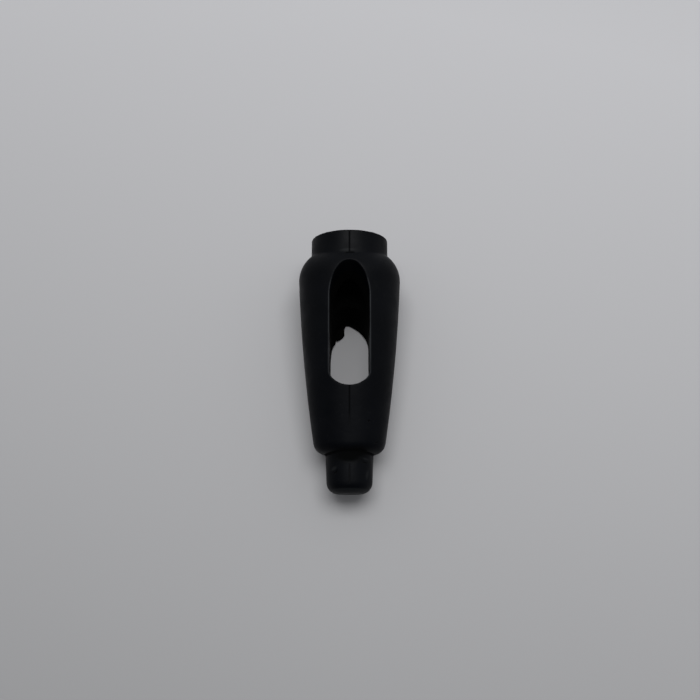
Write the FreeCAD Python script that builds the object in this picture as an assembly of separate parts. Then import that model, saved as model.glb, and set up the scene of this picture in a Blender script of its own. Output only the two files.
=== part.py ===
import FreeCAD, Part
import math
import os

from FreeCAD import Rotation, Vector

# Strain relief bushing, moulded in one piece from soft black rubber. A cable enters through the round collar
# and leaves through the long window in the tapered body, which ends in a short blunt tail.
#
# A station is a distance along the cable axis, from the collar's end face towards the tip of the tail.
# While it is shaped, the bushing points along -Y, with its width along X and the front of its window facing +Z.
# All lengths are in millimetres.

overall_length = 51.3

collar_radius = 7.75
bore_radius = 3.5

body_half_width = 10.25
body_half_depth = 9.0
shoulder_station = 8.8
shoulder_round = 6.2
body_end_station = 43.7
body_end_half_width = 6.75
body_side_bulge = 0.5
body_end_round = 2.5

tail_root_radius = 4.8
tail_tip_radius = 4.5
tail_tip_round = 2.3

# The window runs through from front to back. Its crown leans, so the window is longer at the front.
window_half_width = 3.9
window_crown_station = 11.0
window_crown_length = 6.6
window_crown_lean_deg = 28.0
window_foot_station = 30.9
window_foot_length = 3.0

# Thin flash is left across the crown where it comes out at the back. It is torn on the left and a clean arch
# on the right. Each point is a share of the window's half width and a distance along from the crown.
flash_thickness = 0.4
flash_torn_edge = [
    (-1.0, 8.2),
    (-0.94, 5.6),
    (-0.83, 4.5),
    (-0.71, 3.8),
    (-0.76, 3.1),
    (-0.64, 3.4),
    (-0.46, 3.0),
    (-0.26, 2.2),
    (-0.28, 1.1),
    (-0.24, 0.3),
    (-0.17, 0.0),
    (-0.05, 0.0),
    (0.18, 0.5),
]
flash_arch_middle = (0.72, 2.3)
flash_arch_end = (1.0, 6.6)

# How far a cutting form runs past the surface that it cuts.
cut_clearance = 1.0

LENGTHWISE = Vector(0, 1, 0)


def on_plan(across, station):
    """A point of the lengthwise middle plane, in the shaping position."""
    return Vector(across, -station, 0.0)


def line(start, end):
    return Part.makeLine(start, end)


def on_circle(centre, radius, towards):
    """The point of a circle that lies towards another point."""
    return centre + towards.sub(centre).normalize() * radius


def arc_about(centre, start, end, pieces=1):
    """The shorter arc about a centre, as a chain of equal pieces."""
    spoke = start - centre
    turn = math.degrees(spoke.getAngle(end - centre)) / pieces
    if spoke.cross(end - centre).z < 0:
        turn = -turn
    chain = []
    for piece in range(pieces):
        turns = [Rotation(Vector(0, 0, 1), turn * (piece + part)) for part in (0.0, 0.5, 1.0)]
        points = [centre + place.multVec(spoke) for place in turns]
        chain.append(Part.Arc(*points).toShape())
    return chain


def side_circle():
    """The large circle that the body's gently bulged side line follows."""
    widest = on_plan(body_half_width, shoulder_station)
    foot = on_plan(body_end_half_width, body_end_station)
    chord = foot - widest
    outward = Vector(-chord.y, chord.x, 0.0).normalize()
    return Part.Circle(widest, widest + chord * 0.5 + outward * body_side_bulge, foot)


def body_half_plan(shift):
    """Half of the body's plan, with its round shoulder and end, moved sideways by the shift."""
    side = side_circle()
    widest = on_plan(body_half_width, shoulder_station)
    shoulder_centre = on_circle(widest, shoulder_round, side.Center)
    shoulder_start = shoulder_centre + LENGTHWISE * shoulder_round

    end_y = body_end_round - body_end_station
    centre_gap = side.Radius - body_end_round
    end_x = side.Center.x + math.sqrt(centre_gap**2 - (end_y - side.Center.y) ** 2)
    end_centre = Vector(end_x, end_y, 0.0)
    side_end = on_circle(side.Center, side.Radius, end_centre)
    end_finish = end_centre - LENGTHWISE * body_end_round

    curves = arc_about(shoulder_centre, shoulder_start, widest, 5)
    curves += arc_about(side.Center, widest, side_end, 4)
    curves += arc_about(end_centre, side_end, end_finish, 2)
    for curve in curves:
        curve.translate(Vector(shift, 0.0, 0.0))

    start = shoulder_start + Vector(shift, 0.0, 0.0)
    finish = end_finish + Vector(shift, 0.0, 0.0)
    start_on_axis = Vector(0.0, start.y, 0.0)
    finish_on_axis = Vector(0.0, finish.y, 0.0)
    curves += [line(finish, finish_on_axis), line(finish_on_axis, start_on_axis), line(start_on_axis, start)]
    return Part.Face(Part.Wire(curves))


def quarter_turn(half_plan, facing_deg, axis_place):
    """A quarter turn of the half plan about its own lengthwise axis. It faces +X, turned on by an angle."""
    wedge = half_plan.revolve(Vector(), LENGTHWISE, 90)
    wedge.rotate(Vector(), LENGTHWISE, facing_deg - 45)
    wedge.translate(axis_place)
    return wedge


def oval_section():
    """How far the body's section is from a circle.

    It is an oval of four quarter arcs: small ones at the sides, large ones at the front and back. These are
    the difference between their radii, and how far their centres lie from the middle.
    """
    radius_gap = (body_half_width - body_half_depth) / (math.sqrt(2.0) - 1.0)
    return radius_gap, radius_gap / math.sqrt(2.0)


def body_form():
    """The tapered body alone."""
    radius_gap, axis_offset = oval_section()
    side_plan = body_half_plan(-axis_offset)
    front_plan = body_half_plan(radius_gap - axis_offset)
    right = quarter_turn(side_plan, 0, Vector(axis_offset, 0, 0))
    back = quarter_turn(front_plan, 90, Vector(0, 0, axis_offset))
    left = quarter_turn(side_plan, 180, Vector(-axis_offset, 0, 0))
    front = quarter_turn(front_plan, 270, Vector(0, 0, -axis_offset))
    return right.fuse([back, left, front])


def collar_form():
    """The round collar, which runs on inside the body as far as its widest place."""
    return Part.makeCylinder(collar_radius, shoulder_station, Vector(), -LENGTHWISE)


def tail_form():
    """The blunt, slightly tapered tail, turned from its half plan. It is rooted in the body's rounded end."""
    root_station = body_end_station - body_end_round
    root = on_plan(tail_root_radius, root_station)
    round_centre = on_plan(tail_tip_radius - tail_tip_round, overall_length - tail_tip_round)
    round_start = round_centre + Vector(tail_tip_round, 0, 0)
    round_end = round_centre - LENGTHWISE * tail_tip_round
    tip = on_plan(0.0, overall_length)
    root_on_axis = on_plan(0.0, root_station)
    edges = [line(root, round_start)]
    edges += arc_about(round_centre, round_start, round_end, 2)
    edges += [line(round_end, tip), line(tip, root_on_axis), line(root_on_axis, root)]
    return Part.Face(Part.Wire(edges)).revolve(Vector(), LENGTHWISE, 360)


def arched_slot(rise):
    """An endless upright slot as wide as the window. It runs towards the tail from an arch with this rise.

    The arch is half an oval of quarter arcs, with its tip at station 0.
    """
    radius_gap = (rise - window_half_width) / (math.sqrt(2.0) - 1.0)
    axis_offset = radius_gap / math.sqrt(2.0)
    corner = on_plan(window_half_width, rise)
    side_centre = on_plan(-axis_offset, rise)
    tip_centre = on_plan(0.0, rise - axis_offset)
    haunch = on_circle(tip_centre, rise - axis_offset, tip_centre + Vector(1, 1, 0))

    half = [line(on_plan(window_half_width, overall_length), corner)]
    half += arc_about(side_centre, corner, haunch)
    half += arc_about(tip_centre, haunch, Vector())
    other_half = [edge.mirror(Vector(), Vector(1, 0, 0)) for edge in half]
    far_end = line(on_plan(-window_half_width, overall_length), on_plan(window_half_width, overall_length))
    outline = Part.Wire(Part.__sortEdges__(half + other_half + [far_end]))
    slot = Part.Face(outline).extrude(Vector(0.0, 0.0, 2.0 * overall_length))
    slot.translate(Vector(0.0, 0.0, -overall_length))
    return slot


def window_form():
    """What the window takes away: all that lies both past the leaning crown and before the upright foot."""
    upright_share = math.cos(math.radians(window_crown_lean_deg))
    past_crown = arched_slot(window_crown_length * upright_share)
    past_crown.rotate(Vector(), Vector(1, 0, 0), -window_crown_lean_deg)
    past_crown.translate(on_plan(0.0, window_crown_station))
    before_foot = arched_slot(window_foot_length)
    before_foot.rotate(Vector(), Vector(0, 0, 1), 180)
    before_foot.translate(on_plan(0.0, window_foot_station))
    return past_crown.common(before_foot)


def back_radius(station):
    """The radius of the arc across the body's back."""
    side = side_circle()
    half_width = side.Center.x + math.sqrt(side.Radius**2 - (side.Center.y + station) ** 2)
    radius_gap, axis_offset = oval_section()
    return half_width + radius_gap - axis_offset


def flash_form():
    """The thin torn flash across the crown at the back, which follows the body's surface."""
    crown_station = window_crown_station + body_half_depth * math.tan(math.radians(window_crown_lean_deg))

    def on_sheet(share, along):
        return on_plan(share * window_half_width, crown_station + along)

    torn = [on_sheet(share, along) for share, along in flash_torn_edge]
    arch_end = on_sheet(*flash_arch_end)
    wall = window_half_width + cut_clearance
    corners = [
        arch_end,
        Vector(wall, arch_end.y, 0.0),
        on_plan(wall, window_crown_station),
        on_plan(-wall, window_crown_station),
        Vector(-wall, torn[0].y, 0.0),
        torn[0],
    ]
    edges = [line(start, end) for start, end in zip(torn, torn[1:])]
    edges.append(Part.Arc(torn[-1], on_sheet(*flash_arch_middle), arch_end).toShape())
    edges += [line(start, end) for start, end in zip(corners, corners[1:])]
    sheet = Part.Face(Part.Wire(edges))
    back_half = sheet.extrude(Vector(0.0, 0.0, -body_half_depth - cut_clearance))

    near = -sheet.BoundBox.YMax - cut_clearance
    far = -sheet.BoundBox.YMin + cut_clearance
    inside = Part.makeCone(
        back_radius(near) - flash_thickness,
        back_radius(far) - flash_thickness,
        far - near,
        Vector(0.0, -near, oval_section()[1]),
        -LENGTHWISE,
    )
    return back_half.cut(inside)


def bore_form():
    """The cable's way in: a bore from the collar's end that opens wholly inside the window."""
    lean_reach = bore_radius * math.tan(math.radians(window_crown_lean_deg))
    length = window_crown_station + window_crown_length + lean_reach
    return Part.makeCylinder(bore_radius, length, Vector(), -LENGTHWISE)


def bushing():
    solid = body_form().fuse([collar_form(), tail_form()])
    return solid.cut(window_form().cut(flash_form())).cut(bore_form()).Solids[0]


def laid_down(solid):
    """The bushing as it lies on a table: on its back, with its weight over the place where the back bears."""
    side = side_circle()
    back_centre = Vector(0.0, side.Center.y, body_half_width - body_half_depth - side.Center.x)
    bearing = solid.CenterOfMass - back_centre
    solid.rotate(Vector(), Vector(1, 0, 0), math.degrees(math.atan(bearing.y / bearing.z)))
    box = solid.optimalBoundingBox()
    solid.translate(Vector(-box.Center.x, -box.Center.y, -box.ZMin))
    return solid


def main():
    os.makedirs("parts", exist_ok=True)
    laid_down(bushing()).exportStep("parts/bushing.step")


main()
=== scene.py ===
import bmesh
import bpy
import math
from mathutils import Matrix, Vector, kdtree


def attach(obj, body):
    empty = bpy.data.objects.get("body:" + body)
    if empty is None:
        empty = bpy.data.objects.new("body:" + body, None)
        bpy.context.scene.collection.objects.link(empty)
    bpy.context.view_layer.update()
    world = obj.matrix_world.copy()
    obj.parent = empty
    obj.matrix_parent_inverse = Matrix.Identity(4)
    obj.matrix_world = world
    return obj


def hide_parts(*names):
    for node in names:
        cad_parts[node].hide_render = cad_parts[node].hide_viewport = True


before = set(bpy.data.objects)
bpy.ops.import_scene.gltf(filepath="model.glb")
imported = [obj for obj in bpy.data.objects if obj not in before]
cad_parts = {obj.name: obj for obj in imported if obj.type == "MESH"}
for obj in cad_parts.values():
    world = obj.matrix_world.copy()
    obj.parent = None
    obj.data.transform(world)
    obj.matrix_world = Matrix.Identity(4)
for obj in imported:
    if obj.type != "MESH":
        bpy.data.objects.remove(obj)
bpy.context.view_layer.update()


# The bushing.
# It is moulded in one piece from soft black rubber, in a mould of two halves that meet along its middle.
# Every edge comes out of the mould slightly round. The skin is satin with a fine grain, and dull inside,
# where its walls are also painted darker as painted shade.

# The skin is meshed evenly and finely, then thinned to a share of its triangles.
skin_mesh_size = 0.00011
skin_share_kept = 0.24
edge_rounding_passes = 14
edge_rounding_strength = 0.5

# A point of the skin that lies this near to a sharp line of the moulding is put on it before the rounding.
sharp_edge_angle = math.radians(30)
sharp_line_step = 0.00005
sharp_line_reach = skin_mesh_size * 0.8

# The front of the body rises towards the collar in a straight line, and so does the cable's axis.
front_height_at_middle = 0.0151
front_slope = 0.167
axis_height_at_middle = 0.00774
axis_slope = 0.0887

window_foot = -0.0065
window_crown = 0.0195
window_side = 0.0041
window_front_depth = 0.0008
window_crown_height = 0.0058
window_back_depth = 0.0083
bore_reach = 0.0036
root_lines_beyond = 0.016

parting_line_core = 0.00006
parting_line_edge = 0.0002
nick_depth = 0.00007
scuff_height = 0.00004
swirl_height = 0.00008
grain_height = 0.00001

satin_roughness = (0.42, 0.54)
dull_roughness = 0.9
rubber_specular = 0.065
darkest_black = (0.0008, 0.0012, 0.0021, 1)
lightest_black = (0.0016, 0.0021, 0.0033, 1)
dust_grey = (0.0062, 0.0066, 0.0074, 1)
smudge_and_reflection_grey = (0.0085, 0.0095, 0.0105, 1)
rim_scuff_and_highlight_grey = (0.030, 0.032, 0.035, 1)
# Dark for the parting line and nicks, and for the painted shadow at the tail's root.
marks_and_shade_black = (0.0002, 0.0003, 0.0004, 1)
painted_inner_shade = (0.0002, 0.0004, 0.0003, 1)

# Small marks on the front: place across and along, turn in degrees, half length and half width.
nick_marks = [
    (-0.0025, -0.0221, 60, 0.0007, 0.0002),
    (-0.0029, -0.0222, 120, 0.0006, 0.00018),
    (0.0030, -0.0203, -8, 0.0009, 0.00016),
    (0.0037, -0.01275, 0, 0.0003, 0.0003),
    (0.0001, 0.0199, 2, 0.0013, 0.00016),
    (0.0052, -0.0165, 25, 0.0008, 0.00013),
]
smudge_marks = [
    (-0.0030, -0.0214, 30, 0.0009, 0.0005),
    (0.0031, -0.0196, -8, 0.0010, 0.0003),
    (-0.0004, 0.0205, 2, 0.0019, 0.0003),
    (0.0034, -0.0225, 80, 0.0014, 0.0004),
]
# Patches of painted shadow on the tail's root, just below the body's end.
root_shadow_marks = [
    (-0.0003, -0.0191, -3, 0.0047, 0.0021),
    (0.0013, -0.0186, 7, 0.0040, 0.0016),
]
mark_height = 0.02


def front_height(along):
    """Height of the body's front at its middle, at this place along the bushing."""
    return front_height_at_middle + front_slope * along


def is_inside(across, along, height):
    """True for a point on the walls of the window or of the bore."""
    axis_height = axis_height_at_middle + axis_slope * along
    if along > 0 and math.hypot(across, height - axis_height) < bore_reach:
        return True
    lowest = axis_height - window_back_depth
    highest = min(front_height(along) - window_front_depth, axis_height + window_crown_height)
    return abs(across) < window_side and window_foot < along < window_crown and lowest < height < highest


def nearness_tree(places):
    """Finds which of these places lies nearest to a point, and how far away it is."""
    tree = kdtree.KDTree(len(places))
    for number, place in enumerate(places):
        tree.insert(place, number)
    tree.balance()
    return tree


merged = bmesh.new()
merged.from_mesh(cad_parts["bushing"].data)
bmesh.ops.remove_doubles(merged, verts=merged.verts, dist=0.000001)
skin_mesh = bpy.data.meshes.new("bushing_skin")
merged.to_mesh(skin_mesh)

# The moulding's sharp lines, and among them the window's front rim and the corner at the tail's root.
sharp_places = []
rim_places = []
corner_places = []
for edge in merged.edges:
    if len(edge.link_faces) != 2 or abs(edge.calc_face_angle_signed()) < sharp_edge_angle:
        continue
    start = edge.verts[0].co
    end = edge.verts[1].co
    middle = (start + end) / 2
    steps = math.ceil((end - start).length / sharp_line_step)
    places = [start.lerp(end, step / steps) for step in range(steps + 1)]
    sharp_places += places
    near_front = middle.z > front_height(middle.y) - window_front_depth
    if near_front and abs(middle.x) < window_side and middle.y < window_crown:
        rim_places += places
    elif edge.calc_face_angle_signed() < 0 and abs(middle.y) > root_lines_beyond:
        corner_places += places
merged.free()

sharp_tree = nearness_tree(sharp_places)
rim_tree = nearness_tree(rim_places)
corner_tree = nearness_tree(corner_places)

skin = bpy.data.objects.new("bushing_skin", skin_mesh)
bpy.context.collection.objects.link(skin)


def apply_modifiers(piece):
    """Makes what the piece's modifiers give its own mesh, and takes them off."""
    evaluated = piece.evaluated_get(bpy.context.evaluated_depsgraph_get())
    piece.data = bpy.data.meshes.new_from_object(evaluated)
    piece.modifiers.clear()


even_mesh = skin.modifiers.new("even_mesh", "REMESH")
even_mesh.mode = "VOXEL"
even_mesh.voxel_size = skin_mesh_size
apply_modifiers(skin)

rounded = bmesh.new()
rounded.from_mesh(skin.data)
for vert in rounded.verts:
    place_on_line, _, distance = sharp_tree.find(vert.co)
    if distance < sharp_line_reach:
        vert.co = place_on_line
for _ in range(edge_rounding_passes):
    bmesh.ops.smooth_vert(
        rounded,
        verts=rounded.verts,
        factor=edge_rounding_strength,
        use_axis_x=True,
        use_axis_y=True,
        use_axis_z=True,
    )
for face in rounded.faces:
    face.smooth = True
rounded.to_mesh(skin.data)
rounded.free()

thinned = skin.modifiers.new("thinned", "DECIMATE")
thinned.ratio = skin_share_kept
apply_modifiers(skin)

# Each point of the skin knows its distance to the rim and to the corner, and whether it lies inside.
points = [vert.co for vert in skin.data.vertices]
stored_values = {
    "from_rim": [rim_tree.find(point)[2] for point in points],
    "from_corner": [corner_tree.find(point)[2] for point in points],
    "inside": [float(is_inside(*point)) for point in points],
}
for name, values in stored_values.items():
    skin.data.attributes.new(name, "FLOAT", "POINT").data.foreach_set("value", values)

rubber = bpy.data.materials.new("black_rubber")
rubber.use_nodes = True
nodes = rubber.node_tree.nodes
links = rubber.node_tree.links
surface = nodes["Principled BSDF"]
surface.inputs["Specular IOR Level"].default_value = rubber_specular
coordinates = nodes.new("ShaderNodeTexCoord")
axes = nodes.new("ShaderNodeSeparateXYZ")
links.new(coordinates.outputs["Object"], axes.inputs["Vector"])
absolute = nodes.new("ShaderNodeMath")
absolute.operation = "ABSOLUTE"
links.new(axes.outputs["X"], absolute.inputs[0])
across = axes.outputs["X"]
along = axes.outputs["Y"]
height = axes.outputs["Z"]
off_middle = absolute.outputs["Value"]


def rubber_noise(scale, detail):
    """A noise on the bushing's own coordinates, with this many features to the metre."""
    noise = nodes.new("ShaderNodeTexNoise")
    noise.inputs["Scale"].default_value = scale
    noise.inputs["Detail"].default_value = detail
    links.new(coordinates.outputs["Object"], noise.inputs["Vector"])
    return noise.outputs["Fac"]


def stored(name):
    """A value stored at each point of the skin."""
    attribute = nodes.new("ShaderNodeAttribute")
    attribute.attribute_name = name
    return attribute.outputs["Fac"]


def between(value, start, end, first, last):
    """Maps a value from start..end to first..last, and stops at both ends."""
    span = nodes.new("ShaderNodeMapRange")
    span.interpolation_type = "SMOOTHSTEP"
    span.inputs["From Min"].default_value = start
    span.inputs["From Max"].default_value = end
    span.inputs["To Min"].default_value = first
    span.inputs["To Max"].default_value = last
    links.new(value, span.inputs["Value"])
    return span.outputs["Result"]


def paired(operation, masks):
    """Several masks made one, two at a time."""
    result = masks[0]
    for mask in masks[1:]:
        pair = nodes.new("ShaderNodeMath")
        pair.operation = operation
        links.new(result, pair.inputs[0])
        links.new(mask, pair.inputs[1])
        result = pair.outputs["Value"]
    return result


def where_all(*masks):
    """1 where all of the masks are 1."""
    return paired("MULTIPLY", masks)


def where_any(*masks):
    """1 where any of the masks is 1."""
    return paired("MAXIMUM", masks)


def stretch(start, end, fade, strength=1.0):
    """This strong along the bushing from start to end, fading out past both."""
    rising = between(along, start - fade, start, 0.0, strength)
    falling = between(along, end, end + fade, 1.0, 0.0)
    return where_all(rising, falling)


def mark(place_across, place_along, turn_deg, half_length, half_width):
    """1 in the middle of a long narrow mark on the front of the bushing, and 0 at its ends and sides."""
    spot = nodes.new("ShaderNodeMapping")
    spot.vector_type = "TEXTURE"
    spot.inputs["Location"].default_value = (place_across, place_along, mark_height)
    spot.inputs["Rotation"].default_value = (0, 0, math.radians(turn_deg))
    spot.inputs["Scale"].default_value = (half_length, half_width, mark_height)
    links.new(coordinates.outputs["Object"], spot.inputs["Vector"])
    away = nodes.new("ShaderNodeVectorMath")
    away.operation = "LENGTH"
    links.new(spot.outputs["Vector"], away.inputs[0])
    return between(away.outputs["Value"], 0.5, 1.05, 1.0, 0.0)


def tinted(onto, colour, mask):
    """The colour so far, with another one laid over it where the mask is 1."""
    layer = nodes.new("ShaderNodeMix")
    layer.data_type = "RGBA"
    links.new(onto, layer.inputs["A"])
    layer.inputs["B"].default_value = colour
    links.new(mask, layer.inputs["Factor"])
    return layer.outputs["Result"]


def raised(mask, distance, onto=None):
    """A bump of this height in metres, laid over another one."""
    bump = nodes.new("ShaderNodeBump")
    bump.inputs["Distance"].default_value = distance
    links.new(mask, bump.inputs["Height"])
    if onto is not None:
        links.new(onto, bump.inputs["Normal"])
    return bump.outputs["Normal"]


grain = rubber_noise(3500, 4)
swirl = rubber_noise(320, 5)
patches = rubber_noise(110, 3)
specks = rubber_noise(1400, 2)

# The parting line shows on the collar, below the window and on the tail, and is wiped away between them.
parting_line = where_all(
    between(off_middle, parting_line_core, parting_line_edge, 1.0, 0.0),
    where_any(
        stretch(0.0202, 0.0243, 0.0003, 0.8),
        stretch(-0.0105, -0.004, 0.005, 0.8),
        stretch(-0.0238, -0.0212, 0.0008, 0.6),
    ),
)

# The window's long edges are painted pale, a little more so on the right and around mid length: a painted
# highlight along the rounded rim, with some scuffing.
rim_scuff_and_highlight = where_all(
    between(stored("from_rim"), 0.00012, 0.0004, 1.0, 0.0),
    between(off_middle, 0.0027, 0.0037, 0.25, 1.0),
    between(across, -0.0038, 0.0038, 0.85, 1.0),
    stretch(-0.003, 0.0125, 0.003),
    between(swirl, 0.3, 0.55, 0.5, 1.0),
)

# The corner at the tail's root is painted dark and dull, most of all in the middle of the front: a painted
# shadow of the body's end on the tail.
root_corner_shadow = where_all(
    between(stored("from_corner"), 0.0001, 0.0007, 1.0, 0.0),
    between(along, -0.015, -0.01, 1.0, 0.0),
)
root_shadow_patch = where_any(*[mark(*row) for row in root_shadow_marks])

# The front edge of the tail's tip is painted a little paler: a painted reflection of the table.
painted_tip_reflection = where_all(
    stretch(-0.0258, -0.0253, 0.0003),
    between(height, 0.0066, 0.0078, 0.0, 1.0),
)
nicks = where_any(*[mark(*row) for row in nick_marks])
smudges_and_tip_reflection = where_any(*[mark(*row) for row in smudge_marks], painted_tip_reflection)
# The parting line and nicks are real dark marks; the corner and patches at the tail's root are painted
# shadow.
marks_and_painted_shade = where_any(parting_line, nicks, root_corner_shadow, root_shadow_patch)
inside = stored("inside")

black = nodes.new("ShaderNodeMix")
black.data_type = "RGBA"
black.inputs["A"].default_value = darkest_black
black.inputs["B"].default_value = lightest_black
links.new(between(patches, 0.35, 0.7, 0.0, 1.0), black.inputs["Factor"])
colour = tinted(black.outputs["Result"], dust_grey, between(specks, 0.62, 0.8, 0.0, 0.5))
# Pale smudges, and on the tail's tip a painted reflection of the table.
colour = tinted(colour, smudge_and_reflection_grey, smudges_and_tip_reflection)
colour = tinted(colour, marks_and_shade_black, marks_and_painted_shade)
# The walls of the window and the bore are painted darker: painted shade in the hollows.
colour = tinted(colour, painted_inner_shade, inside)
colour = tinted(colour, rim_scuff_and_highlight_grey, rim_scuff_and_highlight)
links.new(colour, surface.inputs["Base Color"])

satin = between(swirl, 0.3, 0.7, *satin_roughness)
dulled = between(where_any(inside, marks_and_painted_shade), 0.0, 1.0, 0.0, dull_roughness)
links.new(where_any(satin, dulled), surface.inputs["Roughness"])

normal = raised(swirl, swirl_height)
normal = raised(grain, grain_height, normal)
normal = raised(where_any(parting_line, nicks), -nick_depth, normal)
normal = raised(rim_scuff_and_highlight, scuff_height, normal)
links.new(normal, surface.inputs["Normal"])
skin.data.materials.clear()
skin.data.materials.append(rubber)

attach(skin, "root")
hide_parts("bushing")


# The table.
# A plain pale grey sheet that the bushing lies on.
# Its grey is painted lighter towards the far side, and slightly so towards the right: painted light that
# falls off towards the near side.

table_half_size = 0.6
table_roughness = 0.6
lightest_side = math.radians(15)
shading_reach = 0.09
near_grey = (0.305, 0.305, 0.311, 1)
far_grey = (0.525, 0.525, 0.541, 1)

sheet = bmesh.new()
bmesh.ops.create_grid(sheet, x_segments=1, y_segments=1, size=table_half_size)
table_mesh = bpy.data.meshes.new("table")
sheet.to_mesh(table_mesh)
sheet.free()
table = bpy.data.objects.new("table", table_mesh)
bpy.context.collection.objects.link(table)

pale = bpy.data.materials.new("pale_table")
pale.use_nodes = True
pale_nodes = pale.node_tree.nodes
pale_links = pale.node_tree.links
pale_surface = pale_nodes["Principled BSDF"]
pale_surface.inputs["Roughness"].default_value = table_roughness
pale_place = pale_nodes.new("ShaderNodeTexCoord")
pale_turn = pale_nodes.new("ShaderNodeMapping")
pale_turn.inputs["Rotation"].default_value = (0, 0, lightest_side)
pale_links.new(pale_place.outputs["Object"], pale_turn.inputs["Vector"])
pale_axes = pale_nodes.new("ShaderNodeSeparateXYZ")
pale_links.new(pale_turn.outputs["Vector"], pale_axes.inputs["Vector"])
# Painted light: the sheet's grey rises from the near grey to the far grey towards the far side.
towards_far = pale_nodes.new("ShaderNodeMapRange")
towards_far.inputs["From Min"].default_value = -shading_reach
towards_far.inputs["From Max"].default_value = shading_reach
pale_links.new(pale_axes.outputs["Y"], towards_far.inputs["Value"])
tone = pale_nodes.new("ShaderNodeValToRGB")
tone.color_ramp.elements[0].color = near_grey
tone.color_ramp.elements[1].color = far_grey
pale_links.new(towards_far.outputs["Result"], tone.inputs["Fac"])
pale_links.new(tone.outputs["Color"], pale_surface.inputs["Base Color"])
table.data.materials.append(pale)


# The light.
# A wide soft lamp hangs overhead, a little behind the bushing and to its right.
# The room around is pale and dim, and lighter on the far side.

lamp_distance = 1.0
lamp_lean = math.radians(14)
lamp_side = 0.04
lamp_length = 0.83
lamp_width = 0.42
lamp_power = 6.4
brightest_side = math.radians(8)
room_reach = 0.7
near_room_strength = 0.14
far_room_strength = 0.65
room_colour = (0.97, 0.98, 1.0, 1)

overhead = bpy.data.lights.new("overhead_lamp", "AREA")
overhead.shape = "RECTANGLE"
overhead.size = lamp_length
overhead.size_y = lamp_width
overhead.energy = lamp_power
lamp = bpy.data.objects.new("overhead_lamp", overhead)
lamp.location = (
    lamp_side,
    lamp_distance * math.sin(lamp_lean),
    lamp_distance * math.cos(lamp_lean),
)
lamp.rotation_euler = (-lamp_lean, math.asin(lamp_side / lamp_distance), 0)
bpy.context.collection.objects.link(lamp)

world = bpy.data.worlds.new("room")
world.use_nodes = True
room_nodes = world.node_tree.nodes
room_links = world.node_tree.links
room_nodes["Background"].inputs["Color"].default_value = room_colour
room_place = room_nodes.new("ShaderNodeTexCoord")
room_turn = room_nodes.new("ShaderNodeMapping")
room_turn.inputs["Rotation"].default_value = (0, 0, brightest_side)
room_links.new(room_place.outputs["Generated"], room_turn.inputs["Vector"])
room_axes = room_nodes.new("ShaderNodeSeparateXYZ")
room_links.new(room_turn.outputs["Vector"], room_axes.inputs["Vector"])
room_light = room_nodes.new("ShaderNodeMapRange")
room_light.interpolation_type = "SMOOTHSTEP"
room_light.inputs["From Min"].default_value = -room_reach
room_light.inputs["From Max"].default_value = room_reach
room_light.inputs["To Min"].default_value = near_room_strength
room_light.inputs["To Max"].default_value = far_room_strength
room_links.new(room_axes.outputs["Y"], room_light.inputs["Value"])
room_links.new(room_light.outputs["Result"], room_nodes["Background"].inputs["Strength"])
bpy.context.scene.world = world
bpy.context.scene.view_settings.view_transform = "Standard"


# The camera.
# It looks down on the bushing from close by, a little from the tail's side.

camera_elevation = math.radians(73)
camera_distance = 0.18
camera_aim = Vector((0.0001, 0.0027, 0.00798))

camera = bpy.data.cameras.new("camera")
camera.sensor_width = 36
camera.lens = 46.2
camera.clip_start = 0.01
eye = bpy.data.objects.new("camera", camera)
towards_eye = Vector((0, -math.cos(camera_elevation), math.sin(camera_elevation)))
eye.location = camera_aim + towards_eye * camera_distance
eye.rotation_euler = (-towards_eye).to_track_quat("-Z", "Y").to_euler()
bpy.context.collection.objects.link(eye)
bpy.context.scene.camera = eye
